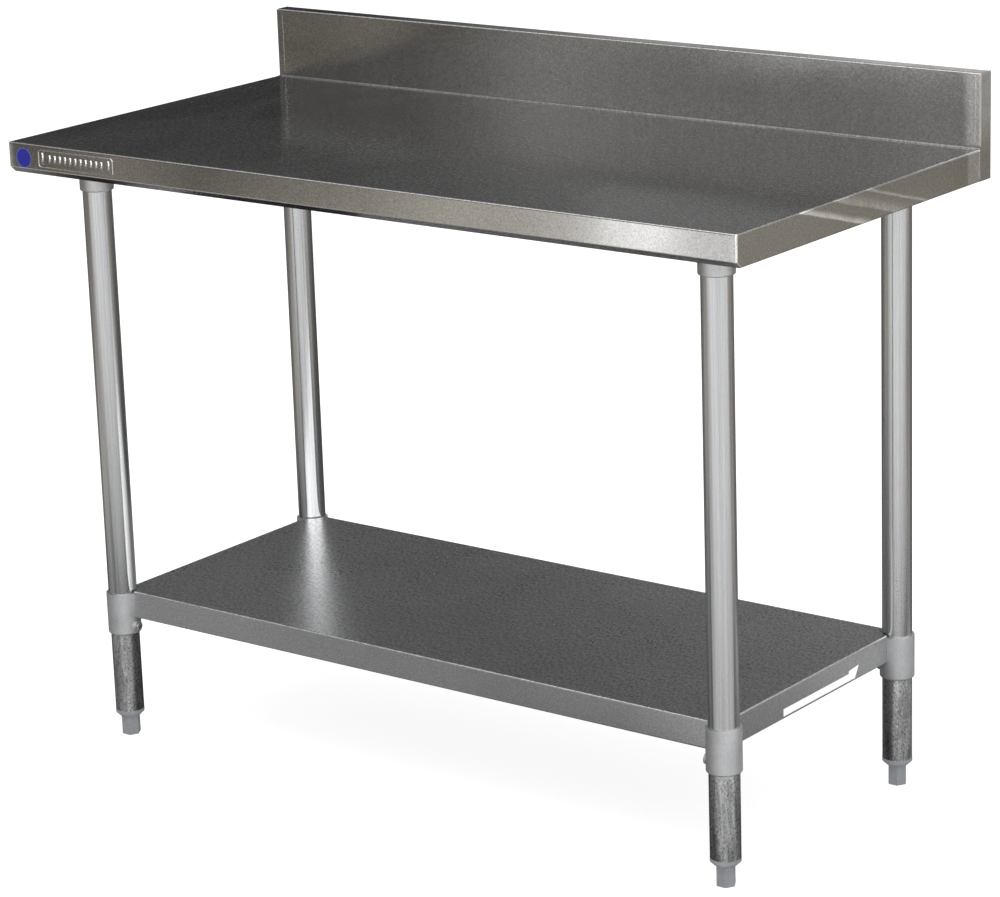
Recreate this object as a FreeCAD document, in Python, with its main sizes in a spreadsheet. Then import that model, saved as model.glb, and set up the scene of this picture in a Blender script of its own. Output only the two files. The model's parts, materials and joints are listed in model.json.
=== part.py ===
"""Stainless work table: 48 x 24 in worktop with a 4 in backsplash, four tubular legs on screw feet,
and an undershelf that slides on the legs and is clamped by set screws.

Frame: origin on the floor under the middle of the table, +X to the right along the length,
+Y to the back (the wall side), +Z up. Millimetres.
"""

import FreeCAD, Part
import math
import os
import re
import Sketcher

doc = FreeCAD.newDocument("WorkTable")

# ---------------------------------------------------------------- driving dimensions

SIZES = [
    # worktop, one sheet with its skirts and backsplash
    ("TableLength", 1219.2),
    ("TableDepth", 609.6),
    ("WorkHeight", 889.0),
    ("SheetThickness", 1.2),
    ("BendRadius", 2.4),
    ("SkirtHeight", 43.5),
    ("SkirtLip", 12.0),
    ("FrontLipAngle", 48.0),
    ("SplashHeight", 101.6),
    ("SplashDepth", 25.4),
    ("SplashLip", 14.0),
    ("SplashBaseRadius", 3.0),
    ("SeamMargin", 1.0),
    ("CapFlange", 10.0),
    ("CapEdge", 1.0),
    ("CapClearance", 0.2),
    # leg axes
    ("LegOffset", 524.0),
    ("LegFront", 222.0),
    ("LegRear", 206.0),
    # legs
    ("LegDiameter", 41.3),
    ("LegWall", 1.5),
    ("LegBottom", 39.5),
    ("LegTop", 857.0),
    # hat channels under the worktop and the shelf
    ("ChannelWidth", 76.0),
    ("ChannelDepth", 25.0),
    ("ShelfChannelDepth", 20.0),
    ("ChannelFlange", 18.0),
    ("ChannelThickness", 1.5),
    ("CrossChannelLength", 560.0),
    ("CentreChannelLength", 932.0),
    ("ShelfChannelLength", 940.0),
    # weld studs and their nuts
    ("StudDiameter", 6.0),
    ("StudLength", 14.0),
    ("StudHole", 6.6),
    ("StudNutAcross", 10.0),
    ("StudNutHeight", 5.0),
    # sound deadening strips
    ("StripLength", 910.0),
    ("StripWidth", 50.0),
    ("StripThickness", 2.0),
    ("StripOffset", 140.0),
    # leg sockets under the worktop
    ("SocketDiameter", 48.0),
    ("SocketBore", 41.3),
    ("SocketBottom", 814.0),
    ("RearSocketBottom", 823.0),
    ("SocketEdge", 2.0),
    ("FlangeSide", 70.0),
    ("FlangeThickness", 4.0),
    ("FlangeCorner", 8.0),
    ("FlangeBoltOffset", 26.0),
    ("BoltDiameter", 6.0),
    ("BoltLength", 16.0),
    ("BoltHeadDiameter", 11.0),
    ("BoltHeadHeight", 3.5),
    # set screws and the bosses that they run in
    ("BossDiameter", 15.0),
    ("BossReach", 28.0),
    ("BossRoot", 2.0),
    ("SetScrewDiameter", 8.0),
    ("SetScrewLength", 9.0),
    ("SetScrewKey", 4.0),
    ("SetScrewKeyDepth", 4.0),
    ("SocketScrewHeight", 832.0),
    ("SleeveScrewHeight", 169.5),
    ("SleeveScrewGap", 0.35),
    # undershelf
    ("ShelfLength", 1044.0),
    ("ShelfDepth", 432.0),
    ("ShelfTop", 222.5),
    ("ShelfSkirt", 40.0),
    ("ShelfLip", 12.0),
    # shelf sleeves
    ("SleeveBore", 42.0),
    ("SleeveBottom", 158.0),
    ("SleeveTop", 219.0),
    ("SleeveEdge", 2.2),
    ("EarLength", 54.0),
    ("EarThickness", 3.0),
    ("EarBottom", 184.5),
    ("EarTop", 218.0),
    ("EarRoot", 1.5),
    # screw feet
    ("PlugBottom", 29.5),
    ("PlugNose", 15.5),
    ("PlugFlangeDiameter", 41.6),
    ("PlugTaperTop", 34.5),
    ("PlugSpigotDiameter", 38.0),
    ("PlugTop", 66.0),
    ("PlugBore", 10.4),
    ("FootNutAcross", 14.3),
    ("FootNutHeight", 8.0),
    ("ThreadBore", 9.66),
    ("FootScrewDiameter", 9.5),
    ("FootScrewBottom", 5.0),
    ("FootScrewTop", 94.0),
    ("FootScrewChamfer", 1.0),
    ("HexAcross", 24.0),
    ("HexTop", 29.3),
    ("HexBore", 9.64),
    ("HexBoreBottom", 4.8),
    ("HexEdge", 1.6),
    # trim
    ("StickerDiameter", 28.0),
    ("StickerThickness", 0.2),
    ("StickerCentre", 580.8),
    ("StickerHeight", 868.5),
    ("LabelThickness", 0.2),
    ("LabelFront", 78.0),
    ("LabelRear", 109.0),
    ("LabelBottom", 184.0),
    ("LabelWidth", 10.0),
    ("LabelTab", 25.0),
    ("LabelTabWidth", 16.0),
    ("LabelTabSlope", 2.0),
]

sheet = doc.addObject("Spreadsheet::Sheet", "Sizes")
for row, (alias, value) in enumerate(SIZES, start=1):
    sheet.set(f"A{row}", alias)
    sheet.set(f"B{row}", str(value))
    sheet.setAlias(f"B{row}", alias)
doc.recompute()


def size(alias):
    """The number held by one cell of the sheet."""
    return float(sheet.get(alias))


# derived places, written as expressions of the sheet
HALF = "TableLength / 2"
FRONT = "-TableDepth / 2"
BACK = "TableDepth / 2"
SPLASH = "TableDepth / 2 - SplashDepth"
SEAM = "TableDepth / 2 - SplashDepth - SplashBaseRadius - SeamMargin"
SPLASH_TOP = "WorkHeight + SplashHeight"
SKIRT_BOTTOM = "WorkHeight - SkirtHeight"
FRONT_BREAK = "WorkHeight - SkirtHeight + SkirtLip * cos(FrontLipAngle * 1 deg)"
FRONT_LIP_END = "-TableDepth / 2 + SkirtLip * sin(FrontLipAngle * 1 deg)"
TOP_UNDERSIDE = "WorkHeight - SheetThickness"
CHANNEL_BOTTOM = "WorkHeight - SheetThickness - ChannelDepth"
MIDDLE = "(LegRear - LegFront) / 2"
SHELF_HALF = "ShelfLength / 2"
SHELF_FRONT = "(LegRear - LegFront) / 2 - ShelfDepth / 2"
SHELF_REAR = "(LegRear - LegFront) / 2 + ShelfDepth / 2"
SHELF_BOTTOM = "ShelfTop - ShelfSkirt"
SHELF_UNDERSIDE = "ShelfTop - SheetThickness"
SHELF_CHANNEL_BOTTOM = "ShelfTop - SheetThickness - ShelfChannelDepth"
FLANGE_MIDDLE = "ChannelWidth / 2 + ChannelFlange / 2"


# ---------------------------------------------------------------- helpers


def bound(expression):
    """An expression with each size's name pointing at its cell of the sheet."""
    return re.sub(r"\b([A-Z][A-Za-z]+)\b", r"Sizes.\1", str(expression))


def bind(thing, **values):
    """Binds properties of an object to expressions."""
    for name, expression in values.items():
        thing.setExpression(name, bound(expression))


def place(thing, x="0", y="0", z="0"):
    for axis, expression in zip("xyz", (x, y, z)):
        thing.setExpression(f"Placement.Base.{axis}", bound(expression))


def turn(thing, axis, degrees):
    thing.Placement = FreeCAD.Placement(
        thing.Placement.Base, FreeCAD.Rotation(FreeCAD.Vector(*axis), degrees)
    )


def box(name, low, high):
    """A box between two corners."""
    solid = doc.addObject("Part::Box", name)
    spans = [f"({top}) - ({bottom})" for bottom, top in zip(low, high)]
    bind(solid, Length=spans[0], Width=spans[1], Height=spans[2])
    place(solid, *low)
    return solid


def cylinder(name, diameter, low, high, x="0", y="0"):
    """An upright cylinder between two heights."""
    solid = doc.addObject("Part::Cylinder", name)
    bind(solid, Radius=f"({diameter}) / 2", Height=f"({high}) - ({low})")
    place(solid, x, y, low)
    return solid


def level_cylinder(name, diameter, start, length, y, z):
    """A cylinder that runs from x = start towards +X."""
    solid = doc.addObject("Part::Cylinder", name)
    bind(solid, Radius=f"({diameter}) / 2", Height=length)
    turn(solid, (0, 1, 0), 90)
    place(solid, start, y, z)
    return solid


def hexagon(name, across, low, high, x="0", y="0"):
    """An upright hexagonal prism of a given width across its flats."""
    solid = doc.addObject("Part::Prism", name)
    solid.Polygon = 6
    bind(solid, Circumradius=f"({across}) / sqrt(3)", Height=f"({high}) - ({low})")
    place(solid, x, y, low)
    return solid


def cut(name, base, tool):
    result = doc.addObject("Part::Cut", name)
    result.Base = base
    result.Tool = tool
    return result


def fuse(name, *solids):
    result = doc.addObject("Part::MultiFuse", name)
    result.Shapes = list(solids)
    result.Refine = True
    return result


def group(name, *solids):
    """Separate solids that share one node."""
    result = doc.addObject("Part::Compound", name)
    result.Links = list(solids)
    return result


def edges_where(shape, wanted):
    """The numbers of the edges whose two ends and middle all satisfy a test of x, y, z."""
    found = []
    for number, edge in enumerate(shape.Edges, start=1):
        middle = edge.valueAt((edge.FirstParameter + edge.LastParameter) / 2)
        points = [vertex.Point for vertex in edge.Vertexes] + [middle]
        if all(wanted(point.x, point.y, point.z) for point in points):
            found.append(number)
    return found


def near(value, target, tolerance=0.01):
    return abs(value - target) < tolerance


def rounded(name, base, wanted, radius):
    """Part::Fillet on the edges that satisfy a test."""
    doc.recompute()
    result = doc.addObject("Part::Fillet", name)
    result.Base = base
    numbers = edges_where(base.Shape, wanted)
    result.Edges = [(number, size(radius), size(radius)) for number in numbers]
    return result


def mirror(name, source, normal, y="0"):
    """A mirror image, in the plane through (0, y, 0)."""
    result = doc.addObject("Part::Mirroring", name)
    result.Source = source
    result.Normal = FreeCAD.Vector(*normal)
    result.setExpression("Base.y", bound(y))
    return result


CORNERS = ("front_right", "front_left", "rear_right", "rear_left")


def at_corners(name, front_right):
    """The piece at the front right leg, and its mirror images at the other three."""
    front_left = mirror(f"{name}_front_left", front_right, (1, 0, 0))
    rear_right = mirror(f"{name}_rear_right", front_right, (0, 1, 0), MIDDLE)
    rear_left = mirror(f"{name}_rear_left", rear_right, (1, 0, 0))
    return [front_right, front_left, rear_right, rear_left]


# PartDesign


def body(name):
    return doc.addObject("PartDesign::Body", name)


def sketch(owner, name, role, offset="0"):
    """A sketch on one of its own body's origin planes, moved along the plane's normal."""
    result = owner.newObject("Sketcher::SketchObject", name)
    plane = next(item for item in owner.Origin.OriginFeatures if item.Role == role)
    result.AttachmentSupport = [(plane, "")]
    result.MapMode = "FlatFace"
    result.setExpression("AttachmentOffset.Base.z", bound(offset))
    return result


def fix_point(drawing, element, end, label, x, y):
    """Ties a point of a sketch to its origin with two bound distances."""
    for axis, expression in (("X", x), ("Y", y)):
        number = drawing.addConstraint(
            Sketcher.Constraint(f"Distance{axis}", -1, 1, element, end, 1.0)
        )
        drawing.renameConstraint(number, f"{label}{axis}")
        drawing.setExpression(f"Constraints.{label}{axis}", bound(expression))


def outline(drawing, points):
    """A closed outline of straight lines through points, each bound to the sheet."""
    count = len(points)
    start = len(drawing.Geometry)
    step = FreeCAD.Rotation(FreeCAD.Vector(0, 0, 1), 360 / count)
    corner = FreeCAD.Vector(50, 0, 0)
    for _ in points:
        following = step.multVec(corner)
        drawing.addGeometry(Part.LineSegment(corner, following))
        corner = following
    for index in range(count):
        following = start + (index + 1) % count
        drawing.addConstraint(
            Sketcher.Constraint("Coincident", start + index, 2, following, 1)
        )
    for index, (x, y) in enumerate(points):
        fix_point(drawing, start + index, 1, f"p{start + index}", x, y)
    return drawing


def rectangle(drawing, low, high):
    return outline(
        drawing, [low, (high[0], low[1]), high, (low[0], high[1])]
    )


def circles(drawing, centres, diameter):
    """Circles of one diameter about centres, all bound to the sheet."""
    for x, y in centres:
        number = drawing.addGeometry(
            Part.Circle(FreeCAD.Vector(), FreeCAD.Vector(0, 0, 1), 5)
        )
        fix_point(drawing, number, 3, f"c{number}", x, y)
        drawing.addConstraint(Sketcher.Constraint("Diameter", number, 10.0))
        last = drawing.ConstraintCount - 1
        drawing.renameConstraint(last, f"d{number}")
        drawing.setExpression(f"Constraints.d{number}", bound(diameter))
    return drawing


def pad(owner, name, profile, length, symmetric=False):
    result = owner.newObject("PartDesign::Pad", name)
    result.Profile = profile
    result.SideType = "Symmetric" if symmetric else "One side"
    bind(result, Length=length)
    return result


def holes(owner, name, profile):
    """A pocket that goes through everything, both ways from its sketch."""
    before = shape_of(owner).Volume
    result = owner.newObject("PartDesign::Pocket", name)
    result.Profile = profile
    result.Type = "ThroughAll"
    result.SideType = "Symmetric"
    require(shape_of(owner).Volume < before - 1, f"{name} cuts nothing")
    return result


def turned(owner, name, points):
    """A solid of revolution about the body's Z axis, from an outline of (radius, height)."""
    profile = outline(sketch(owner, f"{name}_profile", "XZ_Plane"), points)
    result = owner.newObject("PartDesign::Revolution", name)
    result.Profile = profile
    result.ReferenceAxis = (profile, ["V_Axis"])
    result.Angle = 360
    return result


def fillet(owner, name, wanted, radius):
    """PartDesign fillet on the edges that satisfy a test."""
    base = owner.Tip
    numbers = edges_where(shape_of(owner), wanted)
    require(numbers, f"{name} finds no edges")
    result = owner.newObject("PartDesign::Fillet", name)
    result.Base = (base, [f"Edge{number}" for number in numbers])
    bind(result, Radius=radius)
    return result


def shape_of(owner):
    """A body's shape so far, in the body's own frame."""
    doc.recompute()
    return owner.Tip.Shape


def require(condition, message):
    if not condition:
        raise RuntimeError(message)


# ---------------------------------------------------------------- worktop


def make_tabletop():
    """The folded sheet: front skirt and worktop as one profile, with a lip that slopes in below the
    front skirt; the side skirts welded on at its ends, then the backsplash with its return and lip."""
    top = body("tabletop")
    t = "SheetThickness"
    pan = outline(
        sketch(top, "pan_profile", "YZ_Plane"),
        [
            (FRONT_LIP_END, SKIRT_BOTTOM),
            (FRONT, FRONT_BREAK),
            (FRONT, "WorkHeight"),
            (SEAM, "WorkHeight"),
            (SEAM, TOP_UNDERSIDE),
            (f"{FRONT} + {t}", TOP_UNDERSIDE),
            (f"{FRONT} + {t}", f"{FRONT_BREAK} + {t} * tan(FrontLipAngle * 0.5 deg)"),
            (
                f"{FRONT_LIP_END} + {t} * cos(FrontLipAngle * 1 deg)",
                f"{SKIRT_BOTTOM} + {t} * sin(FrontLipAngle * 1 deg)",
            ),
        ],
    )
    pad(top, "pan_fold", pan, f"TableLength - 2 * {t}", symmetric=True)

    lips = sketch(top, "side_lips", "XY_Plane", SKIRT_BOTTOM)
    for side, outer_side, sign in (("right", f"{HALF} - {t}", ""), ("left", f"-({HALF})", "-")):
        wall = outline(
            sketch(top, f"{side}_skirt", "YZ_Plane", outer_side),
            [
                (FRONT_LIP_END, SKIRT_BOTTOM),
                (FRONT, FRONT_BREAK),
                (FRONT, "WorkHeight"),
                (SEAM, "WorkHeight"),
                (SEAM, SKIRT_BOTTOM),
            ],
        )
        pad(top, f"{side}_skirt_wall", wall, t)
        rectangle(
            lips,
            (f"{sign}({HALF} - SkirtLip)", FRONT_LIP_END),
            (f"{sign}({HALF} - {t})", SEAM),
        )
    pad(top, "side_skirt_lips", lips, t)

    half = size("TableLength") / 2
    front = -size("TableDepth") / 2
    back = size("TableDepth") / 2
    splash = back - size("SplashDepth")
    work = size("WorkHeight")
    bottom = work - size("SkirtHeight")
    crown = work + size("SplashHeight")
    lip_angle = math.radians(size("FrontLipAngle"))
    front_break = bottom + size("SkirtLip") * math.cos(lip_angle)

    def outer_corner(x, y, z):
        at_side = near(abs(x), half)
        at_front = near(y, front)
        at_top = near(z, work)
        below_break = (y - front) * math.cos(lip_angle) + (z - front_break) * math.sin(lip_angle)
        if at_side:
            return at_front or at_top or near(below_break, 0) or near(z, bottom)
        return at_front and (at_top or near(z, front_break))

    fillet(top, "skirt_bends", outer_corner, "BendRadius")

    wall = outline(
        sketch(top, "splash_profile", "YZ_Plane"),
        [
            (SEAM, "WorkHeight"),
            (SPLASH, "WorkHeight"),
            (SPLASH, SPLASH_TOP),
            (BACK, SPLASH_TOP),
            (BACK, f"{SPLASH_TOP} - SplashLip"),
            (f"{BACK} - {t}", f"{SPLASH_TOP} - SplashLip"),
            (f"{BACK} - {t}", f"{SPLASH_TOP} - {t}"),
            (f"{SPLASH} + {t}", f"{SPLASH_TOP} - {t}"),
            (f"{SPLASH} + {t}", TOP_UNDERSIDE),
            (SEAM, TOP_UNDERSIDE),
        ],
    )
    pad(top, "splash_fold", wall, f"TableLength - 2 * {t}", symmetric=True)
    fillet(
        top,
        "splash_base_bend",
        lambda x, y, z: near(z, work) and near(y, splash),
        "SplashBaseRadius",
    )
    fillet(
        top,
        "splash_bends",
        lambda x, y, z: near(z, crown) and (near(y, splash) or near(y, back)),
        "BendRadius",
    )


def make_end_cap():
    """The strip that closes the right end of the backsplash and runs down behind the skirt,
    with a flange turned in at the back, below the backsplash's lip."""
    cap = body("end_cap_right")
    t = "SheetThickness"
    strip = outline(
        sketch(cap, "cap_strip", "YZ_Plane", f"{HALF} - {t}"),
        [
            (SEAM, SKIRT_BOTTOM),
            (BACK, SKIRT_BOTTOM),
            (BACK, SPLASH_TOP),
            (SPLASH, SPLASH_TOP),
            (SPLASH, "WorkHeight"),
            (SEAM, "WorkHeight"),
        ],
    )
    pad(cap, "cap_strip_pad", strip, t)
    flange = sketch(cap, "cap_flange", "XY_Plane", SKIRT_BOTTOM)
    rectangle(
        flange,
        (f"{HALF} - CapFlange", f"{BACK} - {t}"),
        (f"{HALF} - {t} / 2", BACK),
    )
    pad(
        cap,
        "cap_flange_pad",
        flange,
        "SkirtHeight + SplashHeight - SplashLip - CapClearance",
    )
    half = size("TableLength") / 2
    crown = size("WorkHeight") + size("SplashHeight")
    bottom = size("WorkHeight") - size("SkirtHeight")
    fillet(
        cap,
        "cap_edges",
        lambda x, y, z: near(x, half) and (near(z, crown) or near(z, bottom)),
        "CapEdge",
    )
    mirror("end_cap_left", cap, (1, 0, 0))


# ---------------------------------------------------------------- channels and their fasteners


def hat_outline(centre, top, bottom):
    """A hat channel's section: two flanges up against the sheet and a web hanging below."""
    half = "ChannelWidth / 2"
    t = "ChannelThickness"
    return [
        (f"{centre} - {half} - ChannelFlange", top),
        (f"{centre} - {half} + {t}", top),
        (f"{centre} - {half} + {t}", f"{bottom} + {t}"),
        (f"{centre} + {half} - {t}", f"{bottom} + {t}"),
        (f"{centre} + {half} - {t}", top),
        (f"{centre} + {half} + ChannelFlange", top),
        (f"{centre} + {half} + ChannelFlange", f"{top} - {t}"),
        (f"{centre} + {half}", f"{top} - {t}"),
        (f"{centre} + {half}", bottom),
        (f"{centre} - {half}", bottom),
        (f"{centre} - {half}", f"{top} - {t}"),
        (f"{centre} - {half} - ChannelFlange", f"{top} - {t}"),
    ]


CROSS_STUD_STEPS = (-240, -80, 80, 240)
LONG_STUD_STEPS = (-420, -140, 140, 420)


def cross_stud_places(axis):
    """Stud positions along both flanges of a front-to-back channel."""
    return [
        (f"{axis} {side} ({FLANGE_MIDDLE})", f"{MIDDLE} + {step}")
        for side in ("-", "+")
        for step in CROSS_STUD_STEPS
    ]


def long_stud_places():
    """Stud positions along both flanges of a lengthwise channel."""
    return [
        (f"{step}", f"{MIDDLE} {side} ({FLANGE_MIDDLE})")
        for side in ("-", "+")
        for step in LONG_STUD_STEPS
    ]


def flange_bolt_places(axis, y):
    return [
        (f"{axis} {across} FlangeBoltOffset", f"{y} {along} FlangeBoltOffset")
        for across in ("-", "+")
        for along in ("-", "+")
    ]


def make_cross_channel():
    """The front-to-back channel that the two right leg sockets bolt to."""
    channel = body("cross_channel_right")
    profile = outline(
        sketch(channel, "cross_section", "XZ_Plane", f"-({MIDDLE})"),
        hat_outline("LegOffset", TOP_UNDERSIDE, CHANNEL_BOTTOM),
    )
    pad(channel, "cross_channel_pad", profile, "CrossChannelLength", symmetric=True)
    drilled = sketch(channel, "cross_stud_holes", "XY_Plane", CHANNEL_BOTTOM)
    circles(drilled, cross_stud_places("LegOffset"), "StudHole")
    for y in ("-LegFront", "LegRear"):
        circles(drilled, flange_bolt_places("LegOffset", y), "BoltDiameter")
    holes(channel, "cross_channel_holes", drilled)
    mirror("cross_channel_left", channel, (1, 0, 0))


def make_long_channel(name, top, bottom, length):
    """A lengthwise channel between the leg lines."""
    channel = body(name)
    profile = outline(
        sketch(channel, f"{name}_section", "YZ_Plane"),
        hat_outline(MIDDLE, top, bottom),
    )
    pad(channel, f"{name}_pad", profile, length, symmetric=True)
    drilled = sketch(channel, f"{name}_stud_holes", "XY_Plane", bottom)
    circles(drilled, long_stud_places(), "StudHole")
    holes(channel, f"{name}_holes", drilled)


def make_studs(name, places, underside):
    """Studs welded to the underside of a sheet."""
    low = f"{underside} - StudLength"
    group(
        name,
        *[
            cylinder(f"{name}_{number}", "StudDiameter", low, underside, x, y)
            for number, (x, y) in enumerate(places)
        ],
    )


def hex_nut(name, across, bore, low, high, x, y):
    blank = hexagon(f"{name}_blank", across, low, high, x, y)
    return cut(name, blank, cylinder(f"{name}_bore", bore, low, high, x, y))


def make_nuts(name, places, flange_top):
    """Nuts on the studs, below the channel's flanges."""
    high = f"{flange_top} - ChannelThickness"
    low = f"{high} - StudNutHeight"
    group(
        name,
        *[
            hex_nut(f"{name}_{number}", "StudNutAcross", "StudDiameter", low, high, x, y)
            for number, (x, y) in enumerate(places)
        ],
    )


def make_sound_strips():
    """Butyl strips stuck to the underside of the worktop to deaden it."""
    strips = []
    for number, sign in enumerate(("-", "+")):
        y = f"{MIDDLE} {sign} StripOffset"
        strips.append(
            box(
                f"sound_strip_{number}",
                ("-StripLength / 2", f"{y} - StripWidth / 2", f"{TOP_UNDERSIDE} - StripThickness"),
                ("StripLength / 2", f"{y} + StripWidth / 2", TOP_UNDERSIDE),
            )
        )
    group("sound_strips", *strips)


# ---------------------------------------------------------------- leg sockets and legs


def leg_body(name, y="-LegFront"):
    """A body whose own origin is on a right leg's axis, at floor height."""
    result = body(name)
    place(result, "LegOffset", y, "0")
    return result


def boss_and_tap(owner, name, height):
    """A boss on the side towards the table's middle, tapped for a set screw."""
    boss = sketch(owner, f"{name}_boss", "YZ_Plane", "-BossReach")
    circles(boss, [("0", height)], "BossDiameter")
    pad(owner, f"{name}_boss_pad", boss, "BossReach - SocketDiameter / 2 + BossRoot")
    tap = sketch(owner, f"{name}_tap", "YZ_Plane")
    circles(tap, [("0", height)], "SetScrewDiameter")
    before = shape_of(owner).Volume
    result = owner.newObject("PartDesign::Pocket", f"{name}_tap_pocket")
    result.Profile = tap
    result.Type = "ThroughAll"
    # a tap through the boss removes its metal and the barrel's wall; on the other side, the wall only
    removed = before - shape_of(owner).Volume
    beyond_barrel = size("BossReach") - size("SocketDiameter") / 2
    through_boss = math.pi * (size("SetScrewDiameter") / 2) ** 2 * beyond_barrel
    require(removed > through_boss, f"{name} tap is on the wrong side")


def make_top_sockets(row, y, bottom):
    """Cast sockets, bolted under the cross channels, that hold the tops of one row of legs. The
    barrels of the rear row are shorter than those of the front row."""
    name = f"{row}_top_socket"
    socket = leg_body(f"top_socket_{row}_right", y)
    turned(
        socket,
        f"{name}_barrel",
        [
            ("SocketBore / 2", bottom),
            ("SocketDiameter / 2", bottom),
            ("SocketDiameter / 2", CHANNEL_BOTTOM),
            ("0", CHANNEL_BOTTOM),
            ("0", "LegTop"),
            ("SocketBore / 2", "LegTop"),
        ],
    )
    half = "FlangeSide / 2"
    flange = sketch(socket, f"{name}_flange", "XY_Plane", f"{CHANNEL_BOTTOM} - FlangeThickness")
    rectangle(flange, (f"-{half}", f"-{half}"), (half, half))
    pad(socket, f"{name}_flange_pad", flange, "FlangeThickness")
    side = size("FlangeSide") / 2
    fillet(
        socket,
        f"{name}_flange_corners",
        lambda x, y, z: near(abs(x), side) and near(abs(y), side),
        "FlangeCorner",
    )
    low = size(bottom)
    wide = size("SocketDiameter") / 2
    fillet(
        socket,
        f"{name}_rim",
        lambda x, y, z: near(z, low) and near((x * x + y * y) ** 0.5, wide),
        "SocketEdge",
    )
    boss_and_tap(socket, name, "SocketScrewHeight")
    drilled = sketch(socket, f"{name}_bolt_holes", "XY_Plane", CHANNEL_BOTTOM)
    circles(drilled, flange_bolt_places("0", "0"), "BoltDiameter")
    holes(socket, f"{name}_holes", drilled)
    mirror(f"top_socket_{row}_left", socket, (1, 0, 0))


def make_socket_bolts():
    """Button head bolts up through the socket flanges and the channel, with nuts above."""
    flange_bottom = f"{CHANNEL_BOTTOM} - FlangeThickness"
    web_top = f"{CHANNEL_BOTTOM} + ChannelThickness"
    bolts, nuts = [], []
    places = [
        centre
        for axis in ("-LegOffset", "LegOffset")
        for y in ("-LegFront", "LegRear")
        for centre in flange_bolt_places(axis, y)
    ]
    for number, (x, y) in enumerate(places):
        shank = cylinder(
            f"socket_bolt_shank_{number}",
            "BoltDiameter",
            flange_bottom,
            f"{flange_bottom} + BoltLength",
            x,
            y,
        )
        head = cylinder(
            f"socket_bolt_head_{number}",
            "BoltHeadDiameter",
            f"{flange_bottom} - BoltHeadHeight",
            flange_bottom,
            x,
            y,
        )
        bolts.append(fuse(f"socket_bolt_{number}", shank, head))
        nuts.append(
            hex_nut(
                f"socket_nut_{number}",
                "StudNutAcross",
                "BoltDiameter",
                web_top,
                f"{web_top} + StudNutHeight",
                x,
                y,
            )
        )
    group("socket_bolts", *bolts)
    group("socket_nuts", *nuts)


def make_set_screws(name, height, gap):
    """Grub screws through the bosses, each stopping a little short of its leg."""
    tip = f"LegOffset - LegDiameter / 2 - {gap}"
    start = f"{tip} - SetScrewLength"
    rod = level_cylinder(f"{name}_rod", "SetScrewDiameter", start, "SetScrewLength", "-LegFront", height)
    key = doc.addObject("Part::Prism", f"{name}_key")
    key.Polygon = 6
    bind(key, Circumradius="SetScrewKey / sqrt(3)", Height="SetScrewKeyDepth")
    turn(key, (0, 1, 0), 90)
    place(key, start, "-LegFront", height)
    screw = cut(f"{name}_front_right", rod, key)
    group(name, *at_corners(name, screw))


def make_legs():
    tube = cylinder("leg_outside", "LegDiameter", "LegBottom", "LegTop", "LegOffset", "-LegFront")
    hollow = cylinder(
        "leg_inside", "LegDiameter - 2 * LegWall", "LegBottom", "LegTop", "LegOffset", "-LegFront"
    )
    at_corners("leg", cut("leg_front_right", tube, hollow))


# ---------------------------------------------------------------- screw feet


def make_foot_plugs():
    """Plugs pressed into the legs, each with a hexagonal pocket for its nut."""
    plug = leg_body("plug_blank")
    turned(
        plug,
        "plug_turned",
        [
            ("PlugBore / 2", "PlugBottom"),
            ("PlugNose", "PlugBottom"),
            ("PlugFlangeDiameter / 2", "PlugTaperTop"),
            ("PlugFlangeDiameter / 2", "LegBottom"),
            ("PlugSpigotDiameter / 2", "LegBottom"),
            ("PlugSpigotDiameter / 2", "PlugTop"),
            ("PlugBore / 2", "PlugTop"),
        ],
    )
    pocket = hexagon(
        "plug_pocket",
        "FootNutAcross",
        "PlugTop - FootNutHeight",
        "PlugTop",
        "LegOffset",
        "-LegFront",
    )
    at_corners("foot_plug", cut("foot_plug_front_right", plug, pocket))
    nut = hex_nut(
        "foot_nut_front_right",
        "FootNutAcross",
        "ThreadBore",
        "PlugTop - FootNutHeight",
        "PlugTop",
        "LegOffset",
        "-LegFront",
    )
    group("foot_nuts", *at_corners("foot_nut", nut))


def make_foot_screws():
    """The threaded studs of the feet: plain rods of the thread's outer diameter."""
    screw = leg_body("foot_screw_front_right")
    radius = "FootScrewDiameter / 2"
    turned(
        screw,
        "foot_screw_turned",
        [
            ("0", "FootScrewBottom"),
            (radius, "FootScrewBottom"),
            (radius, "FootScrewTop - FootScrewChamfer"),
            (f"{radius} - FootScrewChamfer", "FootScrewTop"),
            ("0", "FootScrewTop"),
        ],
    )
    at_corners("foot_screw", screw)


def make_hex_feet():
    """Hexagonal feet that turn with a wrench and carry the table."""
    blank = hexagon("hex_blank", "HexAcross", "0", "HexTop", "LegOffset", "-LegFront")
    bore = cylinder("hex_bore", "HexBore", "HexBoreBottom", "HexTop", "LegOffset", "-LegFront")
    bored = cut("hex_bored", blank, bore)
    x, y = size("LegOffset"), -size("LegFront")
    high = size("HexTop")

    def rim(px, py, pz):
        outside = (px - x) ** 2 + (py - y) ** 2 > size("HexBore") ** 2
        return outside and (near(pz, 0) or near(pz, high))

    at_corners("hex_foot", rounded("hex_foot_front_right", bored, rim, "HexEdge"))


# ---------------------------------------------------------------- undershelf


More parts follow.
